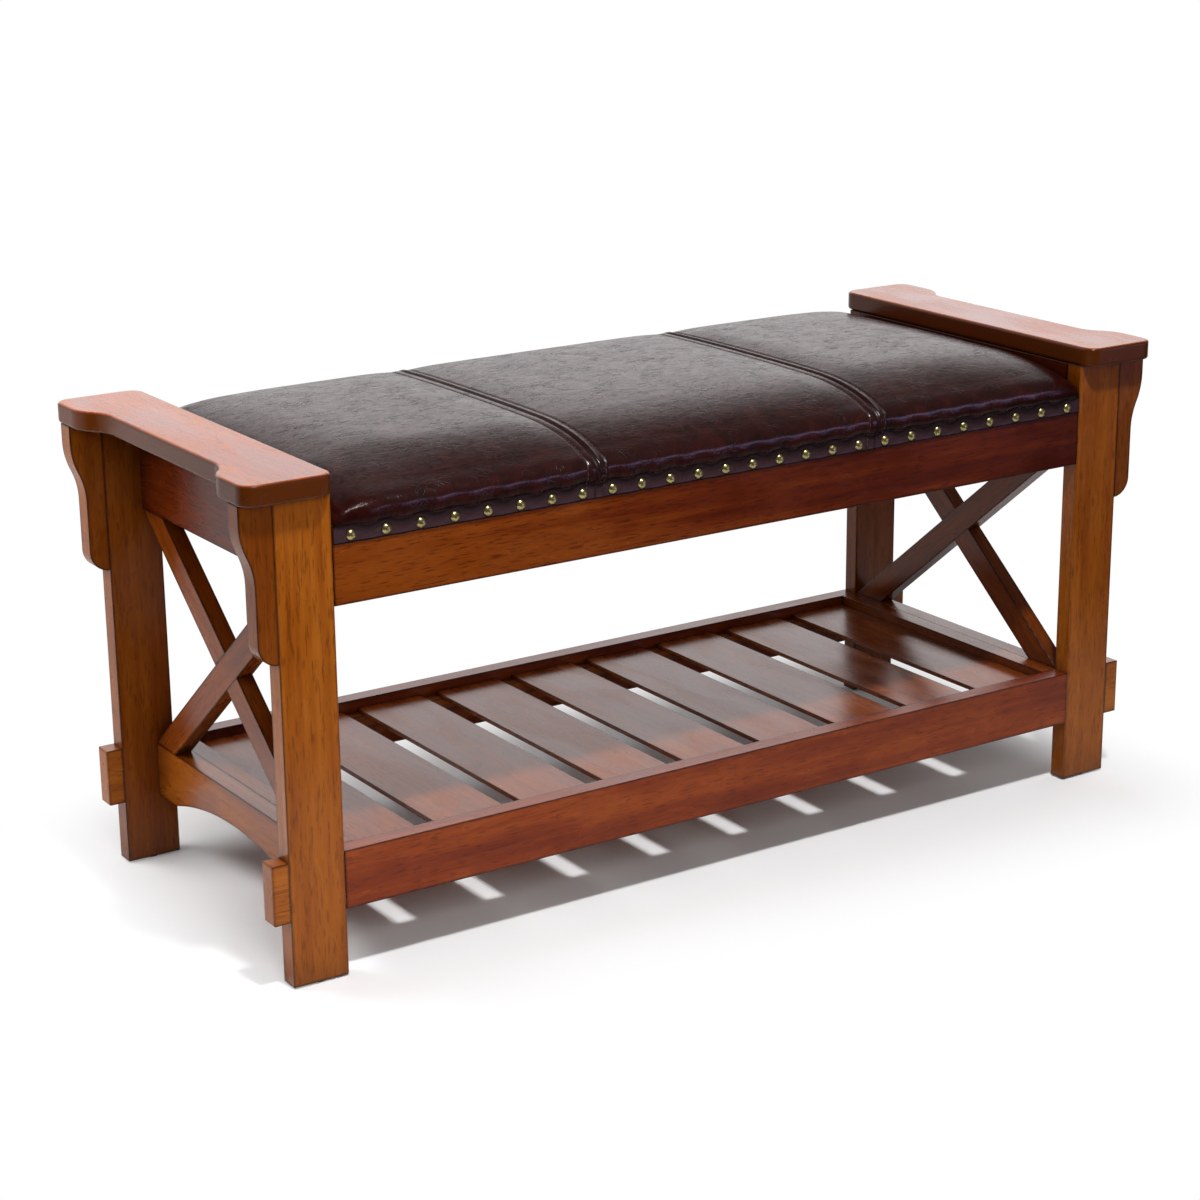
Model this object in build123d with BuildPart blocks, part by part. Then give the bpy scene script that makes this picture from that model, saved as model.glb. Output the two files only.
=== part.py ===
from build123d import *
import os
from math import asin, atan2, cos, degrees, hypot, pi, sin, sqrt

os.makedirs("parts", exist_ok=True)

# Frame: X along the bench, +Y to the back, +Z up, origin on the floor under the middle.
SIDES = (("left", -1), ("right", 1))
ROWS = (("front", -1), ("back", 1))

# Overall sizes, in millimetres
overall_height = 508.0
frame_length = 1053.0  # across the outer faces of the posts
frame_depth = 407.0  # from the front of the front posts to the back of the back posts
fit_gap = 0.2  # hole diameter less pin diameter, for dowels, screws and bolts

# Posts and foot glides
post_width = 60.0
post_thickness = 21.0
post_edge_round = 1.5
glide_height = 2.0
glide_diameter = 16.0

# Corbels, measured outwards from the post and down from the cap
corbel_reach = 35.0
corbel_waist = 21.0
corbel_height = 158.0
corbel_lip = 19.0
corbel_ogee = 63.0

# Tenon blocks
block_reach = 18.0
block_rise = 1.0  # how far a block stands above the shelf rails
block_edge_round = 1.2

# Arm caps
cap_thickness = 21.0
cap_head_overhang = 36.0
cap_waist_cut = 20.0
cap_end_overhang = 15.5
cap_inner_reveal = 1.5
cap_head_length = 48.0
cap_sweep_length = 53.0
cap_corner_radius = 16.0
cap_edge_round = 3.0

# Rails of the end frames, and their braces
rail_thickness = 20.0
apron_height = 97.0
lower_rail_bottom = 70.0
lower_rail_height = 60.0
arch_rise = 23.5
arch_foot = 41.0
arch_ease = 40.0
brace_width = 30.0
brace_thickness = 18.0

# Shelf
shelf_end_height = 38.0
slat_count = 9
slat_gap = 20.5
slat_thickness = 4.5
slat_recess = 10.0
slat_end_gap = 0.3
cleat_size = 15.0

# Seat frame
seat_rail_drop = 32.0  # top of the seat rails, below the underside of the caps
seat_rail_height = 79.0
seat_end_height = 60.0
cross_rail_height = 40.0
corner_block_leg = 45.0
corner_block_height = 25.0
corner_screw_inset = 14.0
board_thickness = 12.0
board_setback = 6.0

# Upholstery
leather_thickness = 1.5
cover_side_gap = 1.0
foam_gap = 0.3
border_height = 16.5  # flat nailed border, measured up from its lower edge
border_drop = 19.5  # lower edge of the border, below the top of the seat rail
crown_height = 42.0  # top of the crown above the top of the seat rail
end_height = 7.0  # cover's height at its ends, above the top of the seat rail
end_roll = 46.0
belly_bulge = 3.5
belly_share = 0.30  # share of the rise where the front stands furthest out
shoulder_share = 0.84  # share of the rise where the front roll meets the crown
shoulder_run = 0.53  # depth of the roll as a share of the rise
seam_offset = 176.0
seam_band = 27.0
channel_depth = 4.0
channel_reach = 45.0

# Nailheads
nail_count = 26
nail_row_margin = 18.0  # from the end of the cover to the first nail
nail_drift = 7.0  # the hand-set nails crowd this much towards the middle
nail_height = 7.5  # above the lower edge of the border
nail_head_diameter = 11.0
nail_head_height = 3.6
nail_shank_diameter = 1.8
nail_shank_length = 11.0

# Dowels, screws and bolts
dowel_diameter = 8.0
dowel_post_depth = 12.0
dowel_rail_depth = 20.0
dowel_cap_depth = 11.0
dowel_spread = 30.0
lower_rail_dowel_margin = 18.0
apron_dowel_margin = 32.0
screw_diameter = 3.6
screw_head_diameter = 7.0
screw_head_height = 2.4
screw_bite = 7.0  # how far a seat screw goes into the board
slat_screw_share = 0.65  # how far a slat screw goes into its slat, as a share of the slat
bolt_diameter = 6.0
bolt_head_diameter = 12.0
bolt_head_height = 3.5
bolt_clearance = 18.5  # from a corner block to the middle of a bolt
seat_bolt_drop = 25.0  # below the top of the seat rail
shelf_bolt_drop = 28.0  # below the top of the shelf rail
insert_diameter = 9.0
insert_length = 13.0

# Planes and heights that the pieces share
half_length = frame_length / 2
half_depth = frame_depth / 2
post_inner = half_length - post_width
post_x = half_length - post_width / 2
post_y = half_depth - post_thickness / 2
post_back = half_depth - post_thickness
cap_bottom = overall_height - cap_thickness
side_rail_x = post_inner + rail_thickness / 2
side_rail_outer = post_inner + rail_thickness
apron_bottom = cap_bottom - apron_height
lower_rail_top = lower_rail_bottom + lower_rail_height
inner_length = post_inner - rail_thickness
inner_depth = half_depth - rail_thickness
seat_rail_top = cap_bottom - seat_rail_drop
seat_rail_bottom = seat_rail_top - seat_rail_height
board_top = seat_rail_top + board_thickness
slat_top = lower_rail_top - slat_recess
slat_bottom = slat_top - slat_thickness
cleat_bottom = slat_bottom - cleat_size
slat_screw_bite = slat_screw_share * slat_thickness
border_bottom = seat_rail_top - border_drop
border_top = border_bottom + border_height
crown_top = seat_rail_top + crown_height
cover_half_length = post_inner - cover_side_gap
cover_face = half_depth + leather_thickness
nail_z = border_bottom + nail_height
full_rise = crown_top - border_top

rail_dowel_heights = (
    lower_rail_bottom + lower_rail_dowel_margin,
    lower_rail_top - lower_rail_dowel_margin,
    apron_bottom + apron_dowel_margin,
    cap_bottom - apron_dowel_margin,
)
bolt_y_far = inner_depth - corner_block_leg - bolt_clearance
bolt_rows = (-bolt_y_far, bolt_y_far)
seat_bolt_z = seat_rail_top - seat_bolt_drop
shelf_bolt_z = lower_rail_top - shelf_bolt_drop

UP_FROM_BASE = (Align.CENTER, Align.CENTER, Align.MIN)
DOWN_FROM_TOP = (Align.CENTER, Align.CENTER, Align.MAX)


def drill(start, along, diameter, depth):
    """Bore a hole from a point on a face, in the direction along."""
    with Locations(Plane(origin=start, z_dir=-Vector(along))):
        Hole(diameter / 2, depth)


def pin(start, along, diameter, length):
    """Add a round pin from a point, in the direction along."""
    with Locations(Plane(origin=start, z_dir=along)):
        Cylinder(diameter / 2, length, align=UP_FROM_BASE)


def block(x_range, y_range, z_range):
    """Add a plain board between two planes on each axis."""
    size = [high - low for low, high in (x_range, y_range, z_range)]
    middle = [(low + high) / 2 for low, high in (x_range, y_range, z_range)]
    with Locations(tuple(middle)):
        Box(*size)


def span(sign, near, far):
    """Give the range from near to far on the positive or the negative side of an axis."""
    return tuple(sorted((sign * near, sign * far)))


# Posts: flat boards, drilled for the cap dowels and the rail dowels
for side, sx in SIDES:
    for row, sy in ROWS:
        with BuildPart() as post:
            block(
                span(sx, post_inner, half_length),
                span(sy, post_back, half_depth),
                (glide_height, cap_bottom),
            )
            inner_edges = post.edges().filter_by(Axis.Z).group_by(Axis.X)[0 if sx > 0 else -1]
            fillet(inner_edges, post_edge_round)
            for offset_x in (-dowel_spread / 2, dowel_spread / 2):
                top_spot = (sx * post_x + offset_x, sy * post_y, cap_bottom)
                drill(top_spot, (0, 0, -1), dowel_diameter + fit_gap, dowel_rail_depth)
            for height in rail_dowel_heights:
                face_spot = (sx * side_rail_x, sy * post_back, height)
                drill(face_spot, (0, sy, 0), dowel_diameter + fit_gap, dowel_post_depth)
        post.part.label = f"post_{row}_{side}"
        export_step(post.part, f"parts/{post.part.label}.step")

# Foot glides: one felt disc under each post
with BuildPart() as foot_glides:
    for side, sx in SIDES:
        for row, sy in ROWS:
            pin((sx * post_x, sy * post_y, 0), (0, 0, 1), glide_diameter, glide_height)
foot_glides.part.label = "foot_glides"
export_step(foot_glides.part, "parts/foot_glides.step")

# Corbels: a lip, an S curve, a straight waist and a rounded foot, cut from a board
lip_end = cap_bottom - corbel_lip
ogee_end = lip_end - corbel_ogee
ogee_middle = (lip_end + ogee_end) / 2
corbel_bottom = cap_bottom - corbel_height
for side, sx in SIDES:
    post_x_face = sx * half_length
    lip_x = sx * (half_length + corbel_reach)
    waist_x = sx * (half_length + corbel_waist)
    for row, sy in ROWS:
        low_y = span(sy, post_back, half_depth)[0]
        with BuildPart() as corbel:
            with BuildSketch(Plane.XZ.offset(-low_y)):
                with BuildLine():
                    Polyline(
                        (post_x_face, corbel_bottom),
                        (post_x_face, cap_bottom),
                        (lip_x, cap_bottom),
                        (lip_x, lip_end),
                    )
                    turn = ((lip_x + waist_x) / 2, ogee_middle)
                    TangentArc((lip_x, lip_end), turn, tangent=(0, -1))
                    TangentArc((waist_x, ogee_end), turn, tangent=(0, 1))
                    foot_start = (waist_x, corbel_bottom + corbel_waist)
                    Line((waist_x, ogee_end), foot_start)
                    TangentArc(foot_start, (post_x_face, corbel_bottom), tangent=(0, -1))
                make_face()
            extrude(amount=-post_thickness)
        corbel.part.label = f"corbel_{row}_{side}"
        export_step(corbel.part, f"parts/{corbel.part.label}.step")

# Tenon blocks: stubs that stand for the through tenons of the shelf rails
for side, sx in SIDES:
    for row, sy in ROWS:
        with BuildPart() as tenon_block:
            block(
                span(sx, half_length, half_length + block_reach),
                span(sy, post_back, half_depth),
                (lower_rail_bottom, lower_rail_top + block_rise),
            )
            outer_face = tenon_block.faces().sort_by(Axis.X)[-1 if sx > 0 else 0]
            fillet(outer_face.edges(), block_edge_round)
        tenon_block.part.label = f"tenon_block_{row}_{side}"
        export_step(tenon_block.part, f"parts/{tenon_block.part.label}.step")

# Arm caps: straight inside, waisted outside, with rounded corners and edges
cap_end = half_depth + cap_end_overhang
sweep_start = cap_end - cap_head_length
sweep_end = sweep_start - cap_sweep_length
for side, sx in SIDES:
    inner_x = sx * (post_inner + cap_inner_reveal)
    head_x = sx * (half_length + cap_head_overhang)
    waist_x = head_x - sx * cap_waist_cut
    with BuildPart() as arm_cap:
        with BuildSketch(Plane.XY.offset(cap_bottom)) as cap_outline:
            with BuildLine():
                Polyline(
                    (head_x, -sweep_start),
                    (head_x, -cap_end),
                    (inner_x, -cap_end),
                    (inner_x, cap_end),
                    (head_x, cap_end),
                    (head_x, sweep_start),
                )
                for end in (-1, 1):
                    middle = ((head_x + waist_x) / 2, end * (sweep_start + sweep_end) / 2)
                    TangentArc((head_x, end * sweep_start), middle, tangent=(0, -end))
                    TangentArc((waist_x, end * sweep_end), middle, tangent=(0, end))
                Line((waist_x, -sweep_end), (waist_x, sweep_end))
            make_face()
            corners = cap_outline.vertices().group_by(Axis.Y)
            fillet(corners[0] + corners[-1], cap_corner_radius)
        extrude(amount=cap_thickness)
        flat_faces = arm_cap.faces().filter_by(Axis.Z).sort_by(Axis.Z)
        fillet(flat_faces[0].edges() + flat_faces[-1].edges(), cap_edge_round)
        for sy in (-1, 1):
            for offset_x in (-dowel_spread / 2, dowel_spread / 2):
                under_spot = (sx * post_x + offset_x, sy * post_y, cap_bottom)
                drill(under_spot, (0, 0, 1), dowel_diameter + fit_gap, dowel_cap_depth)
    arm_cap.part.label = f"arm_cap_{side}"
    export_step(arm_cap.part, f"parts/{arm_cap.part.label}.step")

# End aprons: upper rails of the end frames, with threaded inserts for the seat bolts
for side, sx in SIDES:
    with BuildPart() as end_apron:
        block(span(sx, post_inner, side_rail_outer), (-post_back, post_back), (apron_bottom, cap_bottom))
        for sy in (-1, 1):
            for height in rail_dowel_heights[2:]:
                end_spot = (sx * side_rail_x, sy * post_back, height)
                drill(end_spot, (0, -sy, 0), dowel_diameter + fit_gap, dowel_rail_depth)
        for bolt_y in bolt_rows:
            mouth = (sx * post_inner, bolt_y, seat_bolt_z)
            drill(mouth, (sx, 0, 0), insert_diameter + fit_gap, insert_length)
    end_apron.part.label = f"end_apron_{side}"
    export_step(end_apron.part, f"parts/{end_apron.part.label}.step")

# Arched rails: lower rails of the end frames, with inserts for the shelf bolts
arch_spring = post_back - arch_foot
for side, sx in SIDES:
    with BuildPart() as arched_rail:
        low_x = span(sx, post_inner, side_rail_outer)[0]
        with BuildSketch(Plane.YZ.offset(low_x)) as arch_outline:
            with BuildLine():
                Polyline(
                    (arch_spring, lower_rail_bottom),
                    (post_back, lower_rail_bottom),
                    (post_back, lower_rail_top),
                    (-post_back, lower_rail_top),
                    (-post_back, lower_rail_bottom),
                    (-arch_spring, lower_rail_bottom),
                )
                ThreePointArc(
                    (-arch_spring, lower_rail_bottom),
                    (0, lower_rail_bottom + arch_rise),
                    (arch_spring, lower_rail_bottom),
                )
            make_face()
            springing = arch_outline.vertices().group_by(Axis.Y)[0].sort_by(Axis.X)[1:3]
            fillet(springing, arch_ease)
        extrude(amount=rail_thickness)
        for sy in (-1, 1):
            for height in rail_dowel_heights[:2]:
                end_spot = (sx * side_rail_x, sy * post_back, height)
                drill(end_spot, (0, -sy, 0), dowel_diameter + fit_gap, dowel_rail_depth)
        for bolt_y in bolt_rows:
            mouth = (sx * post_inner, bolt_y, shelf_bolt_z)
            drill(mouth, (sx, 0, 0), insert_diameter + fit_gap, insert_length)
    arched_rail.part.label = f"arched_rail_{side}"
    export_step(arched_rail.part, f"parts/{arched_rail.part.label}.step")

# Braces: two bars at each end, half-lapped flush where they cross. The two ends are the same
# frame turned half round, so the bar that runs through outside rises the other way on the right.
opening_height = apron_bottom - lower_rail_top
opening_middle = (apron_bottom + lower_rail_top) / 2
opening_diagonal = hypot(2 * post_back, opening_height)
brace_angle = degrees(atan2(opening_height, 2 * post_back) + asin(brace_width / opening_diagonal))
for side, sx in SIDES:
    low_x = span(sx, side_rail_outer - brace_thickness, side_rail_outer)[0]
    for rise, lean in (("front", -1), ("back", 1)):
        through_outside = lean == sx
        lap_is_high_x = through_outside != (sx > 0)
        lap_x = low_x + (brace_thickness / 2 if lap_is_high_x else 0)
        with BuildPart() as brace:
            with BuildSketch(Plane.YZ.offset(low_x)):
                with Locations((0, opening_middle)):
                    Rectangle(2 * opening_diagonal, brace_width, rotation=lean * brace_angle)
                    Rectangle(2 * post_back, opening_height, mode=Mode.INTERSECT)
            extrude(amount=brace_thickness)
            with BuildSketch(Plane.YZ.offset(lap_x)):
                with Locations((0, opening_middle)):
                    Rectangle(2 * opening_diagonal, brace_width, rotation=-lean * brace_angle)
            extrude(amount=brace_thickness / 2, mode=Mode.SUBTRACT)
        brace.part.label = f"brace_{side}_rising_{rise}"
        export_step(brace.part, f"parts/{brace.part.label}.step")

# Cap dowels and rail dowels
with BuildPart() as cap_dowels:
    for side, sx in SIDES:
        for row, sy in ROWS:
            for offset_x in (-dowel_spread / 2, dowel_spread / 2):
                foot = (sx * post_x + offset_x, sy * post_y, cap_bottom - dowel_rail_depth)
                pin(foot, (0, 0, 1), dowel_diameter, dowel_rail_depth + dowel_cap_depth)
cap_dowels.part.label = "cap_dowels"
export_step(cap_dowels.part, "parts/cap_dowels.step")

with BuildPart() as rail_dowels:
    for side, sx in SIDES:
        for row, sy in ROWS:
            for height in rail_dowel_heights:
                foot = (sx * side_rail_x, sy * (post_back - dowel_rail_depth), height)
                pin(foot, (0, sy, 0), dowel_diameter, dowel_rail_depth + dowel_post_depth)
rail_dowels.part.label = "rail_dowels"
export_step(rail_dowels.part, "parts/rail_dowels.step")

# Shelf rails, front and back
for row, sy in ROWS:
    with BuildPart() as shelf_rail:
        block(
            (-post_inner, post_inner),
            span(sy, inner_depth, half_depth),
            (lower_rail_bottom, lower_rail_top),
        )
    shelf_rail.part.label = f"shelf_rail_{row}"
    export_step(shelf_rail.part, f"parts/{shelf_rail.part.label}.step")

# Shelf end rails, bolted to the arched rails
for side, sx in SIDES:
    with BuildPart() as shelf_end_rail:
        block(
            span(sx, inner_length, post_inner),
            (-inner_depth, inner_depth),
            (lower_rail_top - shelf_end_height, lower_rail_top),
        )
        for bolt_y in bolt_rows:
            bolt_spot = (sx * inner_length, bolt_y, shelf_bolt_z)
            drill(bolt_spot, (sx, 0, 0), bolt_diameter + fit_gap, rail_thickness)
    shelf_end_rail.part.label = f"shelf_end_rail_{side}"
    export_step(shelf_end_rail.part, f"parts/{shelf_end_rail.part.label}.step")

# Shelf slats, laid front to back on the cleats and set below the rails
slat_width = (2 * inner_length - (slat_count - 1) * slat_gap) / slat_count
slat_pitch = slat_width + slat_gap
slat_centres = [(i - (slat_count - 1) / 2) * slat_pitch for i in range(slat_count)]
screw_y = inner_depth - cleat_size / 2
for number, centre in enumerate(slat_centres, start=1):
    with BuildPart() as shelf_slat:
        block(
            (centre - slat_width / 2, centre + slat_width / 2),
            (-inner_depth + slat_end_gap, inner_depth - slat_end_gap),
            (slat_bottom, slat_top),
        )
        for sy in (-1, 1):
            drill((centre, sy * screw_y, slat_bottom), (0, 0, 1), screw_diameter + fit_gap, slat_screw_bite)
    shelf_slat.part.label = f"shelf_slat_{number}"
    export_step(shelf_slat.part, f"parts/{shelf_slat.part.label}.step")

# Slat cleats, along the inner faces of the shelf rails
for row, sy in ROWS:
    with BuildPart() as slat_cleat:
        block(
            (-inner_length, inner_length),
            span(sy, inner_depth - cleat_size, inner_depth),
            (cleat_bottom, slat_bottom),
        )
        for centre in slat_centres:
            drill((centre, sy * screw_y, cleat_bottom), (0, 0, 1), screw_diameter + fit_gap, cleat_size)
    slat_cleat.part.label = f"slat_cleat_{row}"
    export_step(slat_cleat.part, f"parts/{slat_cleat.part.label}.step")

# Slat screws, driven up through the cleats
with BuildPart() as slat_screws:
    for centre in slat_centres:
        for sy in (-1, 1):
            seat_point = (centre, sy * screw_y, cleat_bottom)
            pin(seat_point, (0, 0, 1), screw_diameter, cleat_size + slat_screw_bite)
            pin(seat_point, (0, 0, -1), screw_head_diameter, screw_head_height)
slat_screws.part.label = "slat_screws"
export_step(slat_screws.part, "parts/slat_screws.step")

# Bolts from inside the seat frame and the shelf frame, and the inserts that they thread into
for frame_name, bolt_z in (("seat", seat_bolt_z), ("shelf", shelf_bolt_z)):
    with BuildPart() as bolts:
        for side, sx in SIDES:
            for bolt_y in bolt_rows:
                seat_point = (sx * inner_length, bolt_y, bolt_z)
                pin(seat_point, (sx, 0, 0), bolt_diameter, rail_thickness + insert_length)
                pin(seat_point, (-sx, 0, 0), bolt_head_diameter, bolt_head_height)
    bolts.part.label = f"{frame_name}_bolts"
    export_step(bolts.part, f"parts/{bolts.part.label}.step")

    with BuildPart() as inserts:
        for side, sx in SIDES:
            for bolt_y in bolt_rows:
                mouth = (sx * post_inner, bolt_y, bolt_z)
                pin(mouth, (sx, 0, 0), insert_diameter, insert_length)
                drill(mouth, (sx, 0, 0), bolt_diameter + fit_gap, insert_length)
    inserts.part.label = f"{frame_name}_inserts"
    export_step(inserts.part, f"parts/{inserts.part.label}.step")

# Nail places along the border, crowding a little towards the middle
nail_reach = cover_half_length - nail_row_margin
nail_steps = [i / (nail_count - 1) for i in range(nail_count)]
nail_places = [nail_reach * (2 * t - 1) + nail_drift * sin(2 * pi * t) for t in nail_steps]
nail_hole_depth = nail_shank_length - leather_thickness

# Seat rails, front and back, drilled for the nails
for row, sy in ROWS:
    with BuildPart() as seat_rail:
        block(
            (-post_inner, post_inner),
            span(sy, inner_depth, half_depth),
            (seat_rail_bottom, seat_rail_top),
        )
        for nail_x in nail_places:
            nail_spot = (nail_x, sy * half_depth, nail_z)
            drill(nail_spot, (0, -sy, 0), nail_shank_diameter + fit_gap, nail_hole_depth)
    seat_rail.part.label = f"seat_rail_{row}"
    export_step(seat_rail.part, f"parts/{seat_rail.part.label}.step")

# Seat end rails, bolted to the aprons
for side, sx in SIDES:
    with BuildPart() as seat_end_rail:
        block(
            span(sx, inner_length, post_inner),
            (-inner_depth, inner_depth),
            (seat_rail_top - seat_end_height, seat_rail_top),
        )
        for bolt_y in bolt_rows:
            bolt_spot = (sx * inner_length, bolt_y, seat_bolt_z)
            drill(bolt_spot, (sx, 0, 0), bolt_diameter + fit_gap, rail_thickness)
    seat_end_rail.part.label = f"seat_end_rail_{side}"
    export_step(seat_end_rail.part, f"parts/{seat_end_rail.part.label}.step")

# Seat cross rail, under the middle of the board
with BuildPart() as seat_cross_rail:
    block(
        (-rail_thickness / 2, rail_thickness / 2),
        (-inner_depth, inner_depth),
        (seat_rail_top - cross_rail_height, seat_rail_top),
    )
seat_cross_rail.part.label = "seat_cross_rail"
export_step(seat_cross_rail.part, "parts/seat_cross_rail.step")

# Corner blocks inside the seat frame, each with a screw up into the board
block_bottom = seat_rail_top - corner_block_height
corner_screws = [
    (sx * (inner_length - corner_screw_inset), sy * (inner_depth - corner_screw_inset), block_bottom)
    for side, sx in SIDES
    for row, sy in ROWS
]
with BuildPart() as seat_corner_blocks:
    for side, sx in SIDES:
        for row, sy in ROWS:
            with BuildSketch(Plane.XY.offset(block_bottom)):
                with BuildLine():
                    Polyline(
                        (sx * inner_length, sy * inner_depth),
                        (sx * (inner_length - corner_block_leg), sy * inner_depth),
                        (sx * inner_length, sy * (inner_depth - corner_block_leg)),
                        close=True,
                    )
                make_face()
            extrude(amount=corner_block_height)
    for spot in corner_screws:
        drill(spot, (0, 0, 1), screw_diameter + fit_gap, corner_block_height)
seat_corner_blocks.part.label = "seat_corner_blocks"
export_step(seat_corner_blocks.part, "parts/seat_corner_blocks.step")

with BuildPart() as seat_screws:
    for spot in corner_screws:
        pin(spot, (0, 0, 1), screw_diameter, corner_block_height + screw_bite)
        pin(spot, (0, 0, -1), screw_head_diameter, screw_head_height)
seat_screws.part.label = "seat_screws"
export_step(seat_screws.part, "parts/seat_screws.step")

# Seat board, on the rails
board_half_length = cover_half_length - board_setback
board_half_depth = half_depth - board_setback
with BuildPart() as seat_board:
    block(
        (-board_half_length, board_half_length),
        (-board_half_depth, board_half_depth),
        (seat_rail_top, board_top),
    )
    for spot in corner_screws:
        drill((spot[0], spot[1], seat_rail_top), (0, 0, 1), screw_diameter + fit_gap, screw_bite)
seat_board.part.label = "seat_board"
export_step(seat_board.part, "parts/seat_board.step")


def seat_top(x):
    """Height of the crown at x: rolled down at the ends, drawn in at the two sewn seams."""
    from_end = cover_half_length - abs(x)
    from_seam = abs(abs(x) - seam_offset)
    top = crown_top
    if from_end < end_roll:
        top -= (crown_height - end_height) * (1 - sqrt(1 - (1 - from_end / end_roll) ** 2))
    if from_seam < channel_reach:
        top -= channel_depth * (1 + cos(pi * from_seam / channel_reach)) / 2
    return top


def seat_sections(inset, base):
    """Give the sections of the seat from end to end, shrunk by inset all round."""
    half_stations = [
        seam_offset / 2,
        seam_offset - channel_reach,
        seam_offset - seam_band / 2,
        seam_offset + seam_band / 2,
        seam_offset + channel_reach,
        (seam_offset + cover_half_length) / 2,
    ]
    half_stations += [cover_half_length - end_roll * (1 - sin(pi / 2 * k / 5)) for k in range(6)]
    stations = [-x for x in reversed(half_stations)] + [0] + half_stations
    shrink = (cover_half_length - inset) / cover_half_length
    side_y = cover_face - inset
    sections = []
    for x in stations:
        rise = seat_top(x) - inset - border_top
        belly_y = side_y + belly_bulge * rise / full_rise
        belly_z = border_top + belly_share * rise
        shoulder_y = belly_y - shoulder_run * rise
        shoulder_z = border_top + shoulder_share * rise
        with BuildSketch(Plane.YZ.offset(x * shrink)) as section:
            with BuildLine():
                Line((-side_y, base), (side_y, base))
                for sy in (-1, 1):
                    Line((sy * side_y, base), (sy * side_y, border_top))
                    TangentArc((sy * belly_y, belly_z), (sy * side_y, border_top), tangent=(0, -1))
                    TangentArc((sy * belly_y, belly_z), (sy * shoulder_y, shoulder_z), tangent=(0, 1))
                ThreePointArc(
                    (-shoulder_y, shoulder_z),
                    (0, border_top + rise),
                    (shoulder_y, shoulder_z),
                )
            make_face()
        sections.append(section.sketch)
    return sections


# Seat foam: the crowned pad on the board, wrapped over its edges
with BuildPart() as seat_foam:
    loft(seat_sections(leather_thickness + foam_gap, border_bottom))
    with Locations((0, 0, seat_rail_top)):
        Box(frame_length, 2 * frame_depth, 2 * border_drop, align=DOWN_FROM_TOP, mode=Mode.SUBTRACT)
        Box(
            2 * board_half_length,
            2 * board_half_depth,
            board_thickness,
            align=UP_FROM_BASE,
            mode=Mode.SUBTRACT,
        )
seat_foam.part.label = "seat_foam"
export_step(seat_foam.part, "parts/seat_foam.step")

# Seat cover: a leather skin over the foam, its border nailed to the faces of the seat rails
with BuildPart() as seat_cover:
    loft(seat_sections(0, border_bottom))
    loft(seat_sections(leather_thickness, border_bottom - leather_thickness), mode=Mode.SUBTRACT)
    with Locations((0, 0, seat_rail_top)):
        Box(2 * post_inner, frame_depth, 2 * border_drop, align=DOWN_FROM_TOP, mode=Mode.SUBTRACT)
    for sy in (-1, 1):
        for nail_x in nail_places:
            nail_spot = (nail_x, sy * cover_face, nail_z)
            drill(nail_spot, (0, -sy, 0), nail_shank_diameter + fit_gap, nail_shank_length)
seat_cover.part.label = "seat_cover"
export_step(seat_cover.part, "parts/seat_cover.step")

# Nailheads: a domed head on a thin shank
with BuildPart() as nail:
    with BuildSketch(Plane.XZ):
        with BuildLine():
            Polyline(
                (0, nail_head_height),
                (0, -nail_shank_length),
                (nail_shank_diameter / 2, -nail_shank_length),
                (nail_shank_diameter / 2, 0),
                (nail_head_diameter / 2, 0),
            )
            TangentArc((0, nail_head_height), (nail_head_diameter / 2, 0), tangent=(1, 0))
        make_face()
    revolve(axis=Axis.Z)

for row, sy in ROWS:
    with BuildPart() as nailheads:
        for nail_x in nail_places:
            with Locations(Plane(origin=(nail_x, sy * cover_face, nail_z), z_dir=(0, sy, 0))):
                add(nail.part)
    nailheads.part.label = f"nailheads_{row}"
    export_step(nailheads.part, f"parts/{nailheads.part.label}.step")
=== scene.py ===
import math

import bpy
import numpy as np
from mathutils import Matrix, Vector

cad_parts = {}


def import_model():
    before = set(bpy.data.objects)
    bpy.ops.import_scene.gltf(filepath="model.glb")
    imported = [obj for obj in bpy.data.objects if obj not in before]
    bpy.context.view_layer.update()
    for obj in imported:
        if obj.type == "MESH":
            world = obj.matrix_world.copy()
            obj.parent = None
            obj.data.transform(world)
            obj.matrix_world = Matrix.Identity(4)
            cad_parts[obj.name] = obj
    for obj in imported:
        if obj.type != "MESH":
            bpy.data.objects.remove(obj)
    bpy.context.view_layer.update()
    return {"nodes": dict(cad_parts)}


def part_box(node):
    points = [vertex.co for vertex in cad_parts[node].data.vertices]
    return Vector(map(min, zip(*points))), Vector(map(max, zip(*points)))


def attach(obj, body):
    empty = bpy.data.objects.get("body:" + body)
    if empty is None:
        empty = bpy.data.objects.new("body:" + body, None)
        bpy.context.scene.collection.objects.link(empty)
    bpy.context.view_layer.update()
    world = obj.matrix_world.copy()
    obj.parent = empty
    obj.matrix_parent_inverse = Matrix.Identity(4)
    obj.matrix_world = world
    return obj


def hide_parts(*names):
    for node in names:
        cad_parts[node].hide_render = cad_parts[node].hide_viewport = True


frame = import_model()
nodes = frame["nodes"]
scene = bpy.context.scene


# Shader helpers

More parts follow.
